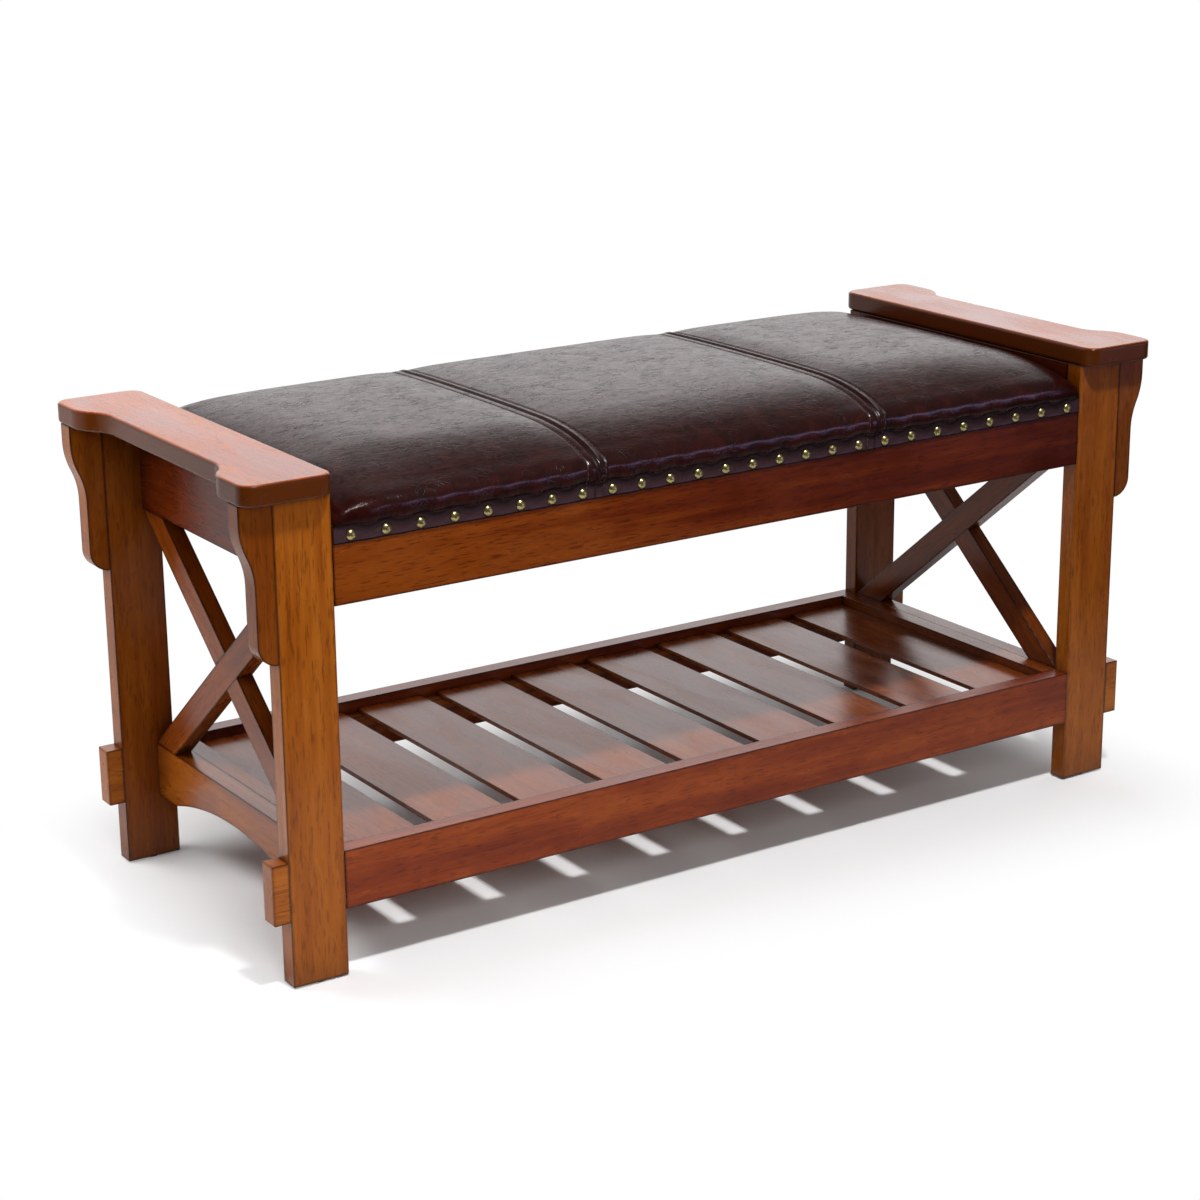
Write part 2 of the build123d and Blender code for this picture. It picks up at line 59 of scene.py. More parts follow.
class Graph:
    """Adds shader nodes to one new material and links them."""

    def __init__(self, name):
        self.material = bpy.data.materials.new(name)
        self.material.use_nodes = True
        self.tree = self.material.node_tree
        self.tree.nodes.clear()
        self.shader = self.add("ShaderNodeBsdfPrincipled")
        self.output = self.add("ShaderNodeOutputMaterial")
        self.link(self.shader.outputs["BSDF"], self.output.inputs["Surface"])

    def add(self, kind, **settings):
        node = self.tree.nodes.new(kind)
        for key, value in settings.items():
            setattr(node, key, value)
        return node

    def link(self, source, target):
        self.tree.links.new(source, target)

    def feed(self, socket, value):
        if isinstance(value, bpy.types.NodeSocket):
            self.link(value, socket)
        else:
            socket.default_value = value

    def place(self):
        return self.add("ShaderNodeTexCoord").outputs["Object"]

    def mapped(self, vector, scale=(1, 1, 1), rotation=(0, 0, 0), location=(0, 0, 0)):
        node = self.add("ShaderNodeMapping")
        self.link(vector, node.inputs["Vector"])
        node.inputs["Location"].default_value = location
        node.inputs["Rotation"].default_value = rotation
        node.inputs["Scale"].default_value = scale
        return node.outputs["Vector"]

    def noise(self, vector, scale=1.0, detail=2.0, roughness=0.5, distortion=0.0):
        node = self.add("ShaderNodeTexNoise")
        self.link(vector, node.inputs["Vector"])
        node.inputs["Scale"].default_value = scale
        node.inputs["Detail"].default_value = detail
        node.inputs["Roughness"].default_value = roughness
        node.inputs["Distortion"].default_value = distortion
        return node.outputs["Fac"]

    def math(self, operation, a, b=0.0, c=0.0, clamp=False):
        node = self.add("ShaderNodeMath", operation=operation, use_clamp=clamp)
        for socket, value in zip(node.inputs, (a, b, c)):
            self.feed(socket, value)
        return node.outputs["Value"]

    def fit(self, value, low, high, to_low=0.0, to_high=1.0):
        node = self.add("ShaderNodeMapRange", interpolation_type="SMOOTHSTEP")
        for key, item in (("Value", value), ("From Min", low), ("From Max", high),
                          ("To Min", to_low), ("To Max", to_high)):
            self.feed(node.inputs[key], item)
        return node.outputs["Result"]

    def ramp(self, value, stops):
        node = self.add("ShaderNodeValToRGB")
        self.link(value, node.inputs["Fac"])
        elements = node.color_ramp.elements
        while len(elements) < len(stops):
            elements.new(0.5)
        for element, (position, colour) in zip(elements, stops):
            element.position = position
            element.color = (*colour, 1.0)
        return node.outputs["Color"]

    def mix(self, factor, a, b, blend="MIX"):
        node = self.add("ShaderNodeMix", data_type="RGBA", blend_type=blend)
        self.feed(node.inputs["Factor"], factor)
        for socket, value in ((node.inputs[6], a), (node.inputs[7], b)):
            self.feed(socket, value if isinstance(value, bpy.types.NodeSocket) else (*value, 1.0))
        return node.outputs[2]

    def rounded(self, radius):
        node = self.add("ShaderNodeBevel", samples=6)
        node.inputs["Radius"].default_value = radius
        return node.outputs["Normal"]

    def edge(self, radius):
        """0 on flat faces, rising towards the arris within radius of an edge."""
        dot = self.add("ShaderNodeVectorMath", operation="DOT_PRODUCT")
        self.link(self.rounded(radius), dot.inputs[0])
        self.link(self.add("ShaderNodeNewGeometry").outputs["True Normal"], dot.inputs[1])
        return self.math("SUBTRACT", 1.0, dot.outputs["Value"], clamp=True)

    def bump(self, height, strength, distance, normal=None):
        node = self.add("ShaderNodeBump")
        node.inputs["Strength"].default_value = strength
        node.inputs["Distance"].default_value = distance
        self.link(height, node.inputs["Height"])
        if normal is not None:
            self.link(normal, node.inputs["Normal"])
        return node.outputs["Normal"]

    def split(self, vector):
        node = self.add("ShaderNodeSeparateXYZ")
        self.link(vector, node.inputs[0])
        return node.outputs


# Wood

ALONG_X, ALONG_Y, ALONG_Z = (1, 0, 0), (0, 1, 0), (0, 0, 1)
WOOD_SPECULAR = 0.20
ARRIS_ROUND = 0.0016
EDGE_DARK_REACH = 0.0045  # how far the darkening along every edge spreads
CORNER_SHADE_REACH = 0.10  # how far the painted shade spreads from an inner corner


def wood(name, grain, seed, tones, figure=0.5, gloss=0.24, end_tone=0.35, side=None, drift=0.0):
    """Stained, lacquered wood; grain is the unit direction its fibres run in.

    side, a painted shade, darkens the faces that don't look up, and a negative drift darkens the piece
    towards +X.
    """
    g = Graph(name)
    shift = tuple(float(v) for v in np.random.default_rng(seed).uniform(-3, 3, 3))
    turn = Vector(grain).rotation_difference(Vector((1, 0, 0))).to_euler()
    along = g.mapped(g.place(), rotation=tuple(turn), location=shift)
    bands = g.noise(g.mapped(along, (1.3, 30, 30)), detail=3, roughness=0.5, distortion=0.5)
    streaks = g.noise(g.mapped(along, (6, 170, 170)), detail=4, roughness=0.62, distortion=0.2)
    cloud = g.noise(g.mapped(along, (9, 26, 26)), detail=3, roughness=0.5, distortion=0.5)
    pores = g.noise(g.mapped(along, (55, 560, 560)), detail=2, roughness=0.5)
    depth = g.math("MULTIPLY_ADD", bands, 0.45, g.math("MULTIPLY", streaks, 0.3))
    depth = g.math("MULTIPLY_ADD", cloud, figure, depth)
    depth = g.math("MULTIPLY_ADD", g.split(g.place())["X"], drift, depth)
    middle = 0.375 + 0.5 * figure
    depth = g.fit(depth, middle - 0.20, middle + 0.20)
    dark, mid, light = tones
    colour = g.ramp(depth, ((0.0, dark), (0.5, mid), (1.0, light)))
    dash = g.fit(pores, 0.46, 0.33)
    colour = g.mix(g.math("MULTIPLY", dash, 0.55), colour, tuple(0.5 * v for v in dark))
    facing = g.add("ShaderNodeVectorMath", operation="DOT_PRODUCT")
    g.link(g.add("ShaderNodeNewGeometry").outputs["Normal"], facing.inputs[0])
    facing.inputs[1].default_value = grain
    cut = g.fit(g.math("ABSOLUTE", facing.outputs["Value"]), 0.55, 0.95)
    colour = g.mix(cut, colour, tuple(end_tone * v for v in mid))
    # painted shade: faces that don't look up take the darker side colour
    if side:
        upward = g.split(g.add("ShaderNodeNewGeometry").outputs["Normal"])["Z"]
        colour = g.mix(g.fit(upward, 0.85, 0.55), colour, side)
    # painted shade: colour darkened where ambient occlusion finds nearby surfaces, in corners, joints and
    # under overhangs
    corner = g.add("ShaderNodeAmbientOcclusion", samples=6)
    corner.inputs["Distance"].default_value = CORNER_SHADE_REACH
    shade = g.math("MULTIPLY", g.fit(corner.outputs["AO"], 0.85, 0.35), 0.70)
    colour = g.mix(shade, colour, tuple(0.3 * v for v in dark))
    edge_dark = g.math("MULTIPLY", g.fit(g.edge(EDGE_DARK_REACH), 0.008, 0.11), 0.95)
    colour = g.mix(edge_dark, colour, tuple(0.08 * v for v in dark))
    g.feed(g.shader.inputs["Base Color"], colour)
    rough = g.fit(cloud, 0.3, 0.7, gloss - 0.03, gloss + 0.06)
    g.feed(g.shader.inputs["Roughness"], rough)
    relief = g.math("MULTIPLY_ADD", dash, -0.6, g.math("MULTIPLY", streaks, 0.5))
    g.feed(g.shader.inputs["Normal"], g.bump(relief, 0.06, 0.0004, g.rounded(ARRIS_ROUND)))
    g.shader.inputs["Specular IOR Level"].default_value = WOOD_SPECULAR
    return g.material


ORANGE = ((0.190, 0.040, 0.0015), (0.285, 0.073, 0.003), (0.380, 0.112, 0.008))
AMBER = ((0.120, 0.023, 0.0010), (0.185, 0.043, 0.002), (0.255, 0.070, 0.005))
BROWN = ((0.105, 0.018, 0.0010), (0.165, 0.033, 0.0020), (0.235, 0.058, 0.0045))
SEAT = ((0.050, 0.0050, 0.0003), (0.108, 0.0145, 0.0008), (0.205, 0.0430, 0.0022))
ARCH = ((0.165, 0.033, 0.0015), (0.245, 0.060, 0.0030), (0.330, 0.095, 0.0070))
RED = ((0.052, 0.0058, 0.0005), (0.095, 0.0125, 0.0010), (0.155, 0.028, 0.003))
SHELF = ((0.115, 0.0130, 0.0007), (0.186, 0.0255, 0.0014), (0.275, 0.050, 0.0035))
CAP = ((0.215, 0.030, 0.0020), (0.315, 0.056, 0.0045), (0.400, 0.092, 0.010))
# painted shade for the cap faces that don't look up
CAP_SHADED_SIDE = (0.078, 0.0170, 0.0012)
DEEP = ((0.125, 0.021, 0.0014), (0.195, 0.040, 0.0035), (0.270, 0.066, 0.007))
PLAIN = ((0.200, 0.110, 0.050), (0.330, 0.200, 0.100), (0.430, 0.280, 0.150))


def dress(node, material):
    obj = nodes[node]
    obj.data.materials.clear()
    obj.data.materials.append(material)


BRACE_LEAN = math.radians(39.3)
for index, name in enumerate(sorted(nodes)):
    if name.startswith("post"):
        # painted shade: back posts take the darker AMBER tones for the shade they stand in
        tones = AMBER if "back" in name else ORANGE
        dress(name, wood("wood_" + name, ALONG_Z, index, tones, figure=0.25))
    elif name.startswith("corbel"):
        dress(name, wood("wood_" + name, ALONG_Z, index, AMBER, figure=0.25))
    elif name.startswith("tenon"):
        dress(name, wood("wood_" + name, ALONG_X, index, ORANGE, figure=0.25, end_tone=0.85))
    elif name.startswith("arm_cap"):
        dress(name, wood("wood_" + name, ALONG_Y, index, CAP, figure=0.7, end_tone=0.2, side=CAP_SHADED_SIDE))
    elif name.startswith("end_apron"):
        dress(name, wood("wood_" + name, ALONG_Y, index, RED, figure=0.3))
    elif name.startswith("arched_rail"):
        dress(name, wood("wood_" + name, ALONG_Y, index, ARCH))
    elif name.startswith("seat_rail"):
        dress(name, wood("wood_" + name, ALONG_X, index, SEAT, figure=0.3, drift=-0.22))
    elif name.startswith("shelf_rail"):
        dress(name, wood("wood_" + name, ALONG_X, index, SHELF, figure=0.45))
    elif name.startswith("shelf_end_rail"):
        dress(name, wood("wood_" + name, ALONG_Y, index, DEEP))
    elif name.startswith("shelf_slat"):
        dress(name, wood("wood_" + name, ALONG_Y, index, DEEP, figure=0.4))
    elif name.startswith("brace"):
        rise = math.sin(BRACE_LEAN) if name.endswith("back") else -math.sin(BRACE_LEAN)
        dress(name, wood("wood_" + name, (0, math.cos(BRACE_LEAN), rise), index, BROWN, figure=0.4))
    elif name in ("cap_dowels", "rail_dowels", "seat_board", "seat_cross_rail", "seat_corner_blocks"):
        dress(name, wood("wood_" + name, ALONG_X, index, PLAIN, figure=0.3, gloss=0.55, end_tone=0.7))
    elif name.startswith("slat_cleat"):
        dress(name, wood("wood_" + name, ALONG_X, index, DEEP, gloss=0.45))
    elif name.startswith("seat_end_rail"):
        dress(name, wood("wood_" + name, ALONG_Y, index, DEEP, gloss=0.45))


# Metal and felt

def metal(name, bright, dull, rough, rim=None):
    """Worn metal; with rim, a direction, the sides that turn away from it are darkened: tarnish and a
    painted shadow of the gap round a nail head.
    """
    g = Graph(name)
    spot = g.noise(g.place(), scale=260, detail=4, roughness=0.6)
    tarnish_and_shadow = g.math("MAXIMUM", g.fit(spot, 0.52, 0.75), g.fit(g.edge(0.0016), 0.02, 0.4))
    # tarnish and painted shadow: sides turned away from rim darkened, standing for the shadow gap round a
    # nail head
    if rim:
        turned = g.add("ShaderNodeVectorMath", operation="DOT_PRODUCT")
        g.link(g.add("ShaderNodeNewGeometry").outputs["Normal"], turned.inputs[0])
        turned.inputs[1].default_value = rim
        tarnish_and_shadow = g.math("MAXIMUM", tarnish_and_shadow, g.fit(g.math("ABSOLUTE", turned.outputs["Value"]), 0.36, 0.16))
    g.feed(g.shader.inputs["Base Color"], g.mix(tarnish_and_shadow, bright, dull))
    g.feed(g.shader.inputs["Roughness"], g.fit(tarnish_and_shadow, 0.0, 1.0, rough, rough + 0.28))
    g.feed(g.shader.inputs["Normal"], g.bump(spot, 0.02, 0.0002, g.rounded(0.0015)))
    g.shader.inputs["Metallic"].default_value = 1.0
    return g.material


def felt(name, pale, dark):
    g = Graph(name)
    nap = g.noise(g.place(), scale=1400, detail=3, roughness=0.7)
    g.feed(g.shader.inputs["Base Color"], g.mix(nap, dark, pale))
    g.feed(g.shader.inputs["Normal"], g.bump(nap, 0.6, 0.0006))
    g.shader.inputs["Roughness"].default_value = 0.95
    return g.material


brass = metal("aged_brass", (0.40, 0.34, 0.14), (0.045, 0.035, 0.014), 0.33, ALONG_Y)
for name in ("nailheads_front", "nailheads_back"):
    dress(name, brass)
insert_brass = metal("insert_brass", (0.62, 0.48, 0.20), (0.30, 0.20, 0.07), 0.3)
zinc = metal("zinc_steel", (0.58, 0.58, 0.60), (0.30, 0.30, 0.32), 0.32)
for name in ("seat_inserts", "shelf_inserts"):
    dress(name, insert_brass)
for name in ("seat_bolts", "shelf_bolts", "seat_screws", "slat_screws"):
    dress(name, zinc)
dress("foot_glides", felt("brown_felt", (0.10, 0.06, 0.04), (0.04, 0.022, 0.015)))


# Leather seat

cover_low, cover_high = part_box("seat_cover")
rail_low, rail_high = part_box("seat_rail_front")

HALF_LENGTH = cover_high.x
RAIL_FACE = -rail_low.y
SKIN = 0.0015
SIDE = RAIL_FACE + SKIN
BORDER_LOW = cover_low.z
BORDER_TOP = BORDER_LOW + 0.0165
RAIL_TOP = rail_high.z
CROWN_TOP = RAIL_TOP + 0.0455
BELLY_Z = RAIL_TOP + 0.0110
BELLY_OUT = 0.0060
END_TOP = RAIL_TOP + 0.0090
END_ROLL = 0.080
FRONT_FLAT = 0.47
BACK_FLAT = 0.82
CROWN_BOW = 0.003
SEAM_X = 0.176
STITCH_ROWS = (-0.0105, 0.0105)
NAIL_COUNT = 26
NAIL_REACH = HALF_LENGTH - 0.018
NAIL_DRIFT = 0.007
steps = np.arange(NAIL_COUNT) / (NAIL_COUNT - 1)
NAIL_X = NAIL_REACH * (2 * steps - 1) + NAIL_DRIFT * np.sin(2 * np.pi * steps)


def smooth(value, low, high):
    t = np.clip((value - low) / (high - low), 0, 1)
    return t * t * (3 - 2 * t)


def section(x, count_border, count_round):
    """One cross-section, from the front border's lower edge over the top to the back one's."""
    from_end = min(1.0, (HALF_LENGTH - abs(x)) / END_ROLL)
    roll = (1 - (1 - from_end) ** 2.3) ** (1 / 2.3)
    bulge = BELLY_OUT * roll
    width = SIDE + bulge
    theta = np.linspace(0, np.pi / 2, 1500)[1:]
    front_edge, back_edge = FRONT_FLAT * width, BACK_FLAT * width
    front = -front_edge - (width - front_edge) * np.cos(theta)
    back = back_edge + (width - back_edge) * np.cos(theta)
    y = np.concatenate((front, np.linspace(-front_edge, back_edge, 1000)[1:-1], back[::-1]))
    rise = np.concatenate((np.sin(theta), np.ones(998), np.sin(theta)[::-1]))
    z = BELLY_Z + (CROWN_TOP - CROWN_BOW - BELLY_Z) * rise + CROWN_BOW * (1 - (y / width) ** 2)
    low = BORDER_TOP + 0.002 + (END_TOP - BORDER_TOP - 0.002) * rise
    z = low + (z - low) * roll
    s = np.linspace(0, 1, 60)[:-1]
    tuck_y = SIDE + bulge * (1 - (1 - s) ** 4)
    tuck_z = BORDER_TOP + (z[0] - BORDER_TOP) * s
    y = np.concatenate((-tuck_y, y, tuck_y[::-1]))
    z = np.concatenate((tuck_z, z, tuck_z[::-1]))
    length = np.concatenate(([0], np.cumsum(np.hypot(np.diff(y), np.diff(z)))))
    at = np.linspace(0, length[-1], count_round)
    y, z = np.interp(at, length, y), np.interp(at, length, z)
    low = np.linspace(BORDER_LOW, BORDER_TOP, count_border + 1)[:-1]
    y = np.concatenate((np.full(count_border, -SIDE), y, np.full(count_border, SIDE)))
    z = np.concatenate((low, z, low[::-1]))
    return np.stack((np.full_like(y, x), y, z), 1)


def grid_mesh(name, points, shut=False):
    """A mesh of quads over a grid of points; shut joins its two long edges and fills its ends."""
    rows, cols = points.shape[:2]
    index = np.arange(rows * cols).reshape(rows, cols)
    quads = np.stack((index[:-1, :-1], index[1:, :-1], index[1:, 1:], index[:-1, 1:]), -1).reshape(-1, 4)
    faces = quads.tolist()
    if shut:
        faces += list(zip(index[:-1, -1], index[1:, -1], index[1:, 0], index[:-1, 0]))
        faces += [tuple(index[0]), tuple(index[-1, ::-1])]
    mesh = bpy.data.meshes.new(name)
    mesh.from_pydata(points.reshape(-1, 3).tolist(), [], [tuple(int(i) for i in face) for face in faces])
    for number, polygon in enumerate(mesh.polygons):
        polygon.use_smooth = number < len(quads)
    mesh.update()
    obj = bpy.data.objects.new(name, mesh)
    scene.collection.objects.link(obj)
    return obj


def fill(points, hold, frames=20, cap=0.003):
    """Blow the skin up from inside with cloth pressure, held where hold is 1."""
    obj = grid_mesh("seat_fill", points)
    group = obj.vertex_groups.new(name="hold")
    for weight in np.unique(hold):
        if weight > 0:
            members = np.flatnonzero(hold.reshape(-1) == weight)
            group.add(members.tolist(), float(weight), "REPLACE")
    cloth = obj.modifiers.new("cloth", "CLOTH")
    settings = cloth.settings
    settings.quality = 6
    settings.mass = 0.35
    settings.tension_stiffness = 22
    settings.compression_stiffness = 22
    settings.shear_stiffness = 10
    settings.bending_stiffness = 2.5
    settings.vertex_group_mass = "hold"
    settings.use_pressure = True
    settings.uniform_pressure_force = 4.0
    settings.effector_weights.gravity = 0.0
    for number in range(1, frames + 1):
        scene.frame_set(number)
    ready = obj.evaluated_get(bpy.context.evaluated_depsgraph_get())
    moved = np.zeros(points.size)
    ready.data.vertices.foreach_get("co", moved)
    delta = moved.reshape(points.shape) - points
    size = np.linalg.norm(delta, axis=2, keepdims=True)
    delta *= np.minimum(1, cap / np.maximum(size, 1e-9))
    bpy.data.objects.remove(obj)
    scene.frame_set(1)
    return delta


def soften(values, sigma):
    """Gaussian blur along both directions of a grid, edges repeated."""
    reach = int(3 * sigma)
    weights = np.exp(-0.5 * (np.arange(-reach, reach + 1) / sigma) ** 2)
    weights /= weights.sum()
    for axis in (0, 1):
        pads = [(reach, reach) if k == axis else (0, 0) for k in range(values.ndim)]
        padded = np.pad(values, pads, mode="edge")
        size = values.shape[axis]
        values = sum(w * np.take(padded, np.arange(k, k + size), axis) for k, w in enumerate(weights))
    return values


def cubic_weights(at, count):
    """Catmull-Rom weights that read a row of count values at the places at."""
    weights = np.zeros((len(at), count))
    base = np.clip(np.floor(at).astype(int), 0, count - 2)
    t = at - base
    parts = (-0.5 * t + t**2 - 0.5 * t**3, 1 - 2.5 * t**2 + 1.5 * t**3,
             0.5 * t + 2 * t**2 - 1.5 * t**3, -0.5 * t**2 + 0.5 * t**3)
    for offset, part in zip((-1, 0, 1, 2), parts):
        np.add.at(weights, (np.arange(len(at)), np.clip(base + offset, 0, count - 1)), part)
    return weights


HIDE = ((0.30, (0.011, 0.0016, 0.0012)), (0.52, (0.022, 0.0034, 0.0026)), (0.75, (0.038, 0.0072, 0.0052)))
CREASE_TONE = (0.008, 0.0022, 0.0016)
LINE_TONE = (0.007, 0.0016, 0.0012)
# painted reflection: purple-grey sheen colour of the flat border band
BORDER_SHEEN_TONE = (0.048, 0.026, 0.031)
# painted shadow: near-black line along the border's lower edge
HEM_SHADOW_TONE = (0.004, 0.002, 0.002)
# painted shade: near-black colour for the crease over the border and the seam and stitch recesses
FOLD_SHADE_TONE = (0.003, 0.0012, 0.0010)
BELLY_SPECULAR = 0.32  # added where the belly stands out


def leather(name):
    """Dark brown hide: marbled colour, brushed creases that follow the form, soft gloss."""
    g = Graph(name)
    place = g.place()
    facing = g.split(g.add("ShaderNodeNewGeometry").outputs["Normal"])["Z"]
    on_top = g.fit(facing, 0.55, 0.92)
    marble = g.noise(place, scale=30, detail=5, roughness=0.6, distortion=1.2)
    flat_strokes = g.noise(g.mapped(place, (70, 150, 150)), detail=5, roughness=0.65, distortion=1.4)
    hung_strokes = g.noise(g.mapped(place, (230, 120, 40)), detail=4, roughness=0.6, distortion=1.2)
    strokes = g.math("MULTIPLY_ADD", g.math("SUBTRACT", flat_strokes, hung_strokes), on_top, hung_strokes)
    warp = g.add("ShaderNodeVectorMath", operation="MULTIPLY_ADD")
    ripple = g.add("ShaderNodeTexNoise")
    g.link(place, ripple.inputs["Vector"])
    ripple.inputs["Scale"].default_value = 60
    ripple.inputs["Detail"].default_value = 3
    g.link(ripple.outputs["Color"], warp.inputs[0])
    warp.inputs[1].default_value = (0.030, 0.014, 0.014)
    g.link(place, warp.inputs[2])
    cracks = g.add("ShaderNodeTexVoronoi", feature="DISTANCE_TO_EDGE")
    g.link(warp.outputs["Vector"], cracks.inputs["Vector"])
    cracks.inputs["Scale"].default_value = 120
    crease = g.fit(cracks.outputs["Distance"], 0.10, 0.0)
    patchy = g.fit(g.noise(place, scale=34, detail=3), 0.45, 0.65)
    crease = g.math("MULTIPLY", crease, patchy)
    line = g.fit(strokes, 0.46, 0.34)
    colour = g.ramp(marble, HIDE)
    colour = g.mix(g.math("MULTIPLY", crease, 0.3), colour, CREASE_TONE)
    colour = g.mix(g.math("MULTIPLY", line, 0.6), colour, LINE_TONE)
    height_up = g.split(place)["Z"]
    # painted reflection: the flat border band takes a purple-grey colour for the sheen it shows
    band = g.fit(height_up, BORDER_TOP + 0.0010, BORDER_TOP - 0.0015)
    colour = g.mix(g.math("MULTIPLY", band, 0.85), colour, BORDER_SHEEN_TONE)
    # painted shadow: the lowest strip of the border darkened nearly black, for the shadow line under its
    # edge
    hem_shadow = g.fit(height_up, BORDER_LOW + 0.0018, BORDER_LOW + 0.0008)
    colour = g.mix(hem_shadow, colour, HEM_SHADOW_TONE)
    # painted shade: darkened in the crease over the border and along the seam join and stitch rows
    fold_shade = g.add("ShaderNodeAttribute", attribute_name="fold_shade").outputs["Fac"]
    colour = g.mix(g.math("MULTIPLY", fold_shade, 0.85), colour, FOLD_SHADE_TONE)
    g.feed(g.shader.inputs["Base Color"], colour)
    rough = g.fit(marble, 0.3, 0.7, 0.22, 0.18)
    rough = g.math("MULTIPLY_ADD", line, 0.08, g.math("MULTIPLY_ADD", crease, 0.12, rough))
    g.feed(g.shader.inputs["Roughness"], g.math("MULTIPLY_ADD", fold_shade, 0.3, rough))
    height = g.math("MULTIPLY_ADD", strokes, 0.9, g.math("MULTIPLY", crease, -0.3))
    height = g.math("MULTIPLY_ADD", marble, 0.25, height)
    g.feed(g.shader.inputs["Normal"], g.bump(height, 0.36, 0.0010))
    belly = g.math("MULTIPLY", g.fit(height_up, BORDER_TOP + 0.006, BORDER_TOP + 0.012),
                   g.fit(height_up, BORDER_TOP + 0.034, BORDER_TOP + 0.024))
    inside = g.math("ABSOLUTE", g.split(place)["X"])
    belly = g.math("MULTIPLY", belly, g.fit(inside, HALF_LENGTH - 0.015, HALF_LENGTH - 0.075))
    brushed = g.fit(strokes, 0.36, 0.64, 0.032, 0.064)
    g.feed(g.shader.inputs["Specular IOR Level"], g.math("MULTIPLY_ADD", belly, BELLY_SPECULAR, brushed))
    return g.material


def build_seat():
    border_rows, round_rows = 5, 107
    xs = np.linspace(-HALF_LENGTH, HALF_LENGTH, 187)
    rest = np.stack([section(x, border_rows, round_rows) for x in xs])
    hold = np.zeros(rest.shape[:2])
    hold[:, :border_rows + 1] = 1
    hold[:, -border_rows - 1:] = 1
    hold[:2] = 1
    hold[-2:] = 1
    hold[np.abs(np.abs(xs) - SEAM_X) < 0.0026] = 1
    full = rest
    rows = np.arange(rest.shape[1])
    from_border = np.minimum(rows, rows[::-1]) - border_rows
    from_end = HALF_LENGTH - np.abs(xs)
    loose = smooth(from_border, 0, 14)[None, :] * smooth(from_end, 0.004, 0.060)[:, None]
    loose *= 1 - 0.75 * np.exp(-((np.abs(xs) - SEAM_X) / 0.022) ** 2)[:, None]
    full = rest + soften(fill(rest, hold), 5.0) * loose[..., None]

    # read the filled skin on a finer grid, closer set at the seams and the border
    step = xs[1] - xs[0]
    fine = [0.0]
    while fine[-1] < HALF_LENGTH:
        near = abs(fine[-1] - SEAM_X) < 0.022
        fine.append(fine[-1] + (0.0012 if near else 0.0036))
    fine = np.array(fine[:-1] + [HALF_LENGTH])
    fine = np.concatenate((-fine[:0:-1], fine))
    rows = rest.shape[1]
    at_v = np.concatenate((np.linspace(0, 14, 43)[:-1], np.linspace(14, rows - 15, 180)[:-1],
                           np.linspace(rows - 15, rows - 1, 43)))
    skin = np.einsum("iu,uvk,jv->ijk", cubic_weights((fine + HALF_LENGTH) / step, len(xs)), full,
                     cubic_weights(at_v, rows), optimize=True)
    du = np.gradient(skin, axis=0)
    dv = np.gradient(skin, axis=1)
    normal = np.cross(du, dv)
    normal /= np.maximum(np.linalg.norm(normal, axis=2, keepdims=True), 1e-12)

    x = skin[..., 0]
    z = skin[..., 2]
    # seam: a sunk join, a raised lap beside it and two pressed stitch rows, in millimetres from the seam
    d = (np.abs(x) - SEAM_X) * np.sign(x) * 1000
    lift = -1.5 * np.exp(-(d / 1.3) ** 2) + 1.3 * np.exp(-((d - 3.6) / 2.0) ** 2)
    lift += 0.5 * np.exp(-((d + 4.5) / 3.5) ** 2)
    for row in STITCH_ROWS:
        lift -= 0.8 * np.exp(-((d - row * 1000) / 1.2) ** 2)
    lift -= 1.6 * np.exp(-(d / 26) ** 2)
    lift *= smooth(z, BORDER_TOP - 0.006, BORDER_TOP + 0.004)
    # puckers: pressed flat around each nail, swelling between them
    gap = np.interp(x, NAIL_X, np.arange(NAIL_COUNT))
    between = 0.5 - 0.5 * np.cos(2 * np.pi * gap)
    start = BORDER_TOP - 0.007 * between
    risen = smooth(z, start - 0.004, start + 0.007)
    faded = smooth(z, BORDER_TOP + 0.006, BORDER_TOP + 0.030)
    pucker = between * risen * (1 - faded)
    lift += 1.5 * pucker
    lift += 0.5 * between * smooth(z, BORDER_LOW + 0.004, BORDER_LOW)
    # painted shade: this attribute darkens the crease above the border, scalloped by the nails, and the
    # seam join and stitch rows
    fold_shade = 0.9 * np.exp(-((z - BORDER_TOP - 0.0015 + 0.0045 * between) / 0.0026) ** 2)
    for row, depth in ((0.0, 0.9), (STITCH_ROWS[0], 0.6), (STITCH_ROWS[1], 0.6)):
        fold_shade = np.maximum(fold_shade, depth * np.exp(-((d - row * 1000) / 1.1) ** 2))
    skin = skin + normal * (lift / 1000)[..., None]

    # fold the lower edges under and close the shape along its flat underside
    inner = RAIL_FACE + 0.0002
    under = []
    for y_sign, edge in ((-1, skin[:, 0]), (1, skin[:, -1])):
        tuck = edge.copy()
        tuck[:, 1] = y_sign * inner
        rest_line = tuck.copy()
        rest_line[:, 2] = RAIL_TOP + 0.0002
        under.append((tuck, rest_line))
    front_under, back_under = under
    over = [skin[:, j] for j in range(skin.shape[1])]
    columns = [front_under[1], front_under[0]] + over + [back_under[0], back_under[1]]
    closed = np.stack(columns, 1)
    closed[..., 0] = np.clip(closed[..., 0], -HALF_LENGTH, HALF_LENGTH)
    obj = grid_mesh("seat_cushion", closed, shut=True)
    mesh = obj.data
    fold_shade_depth = mesh.attributes.new("fold_shade", "FLOAT", "POINT")
    fold_shade_depth.data.foreach_set("value", np.pad(fold_shade, ((0, 0), (2, 2))).reshape(-1))
    mesh.materials.append(leather("brown_leather"))
    return obj, fine, skin, normal


cushion, fine_x, skin, skin_normal = build_seat()
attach(cushion, "root")
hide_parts("seat_cover", "seat_foam")


# Stitching along the seams

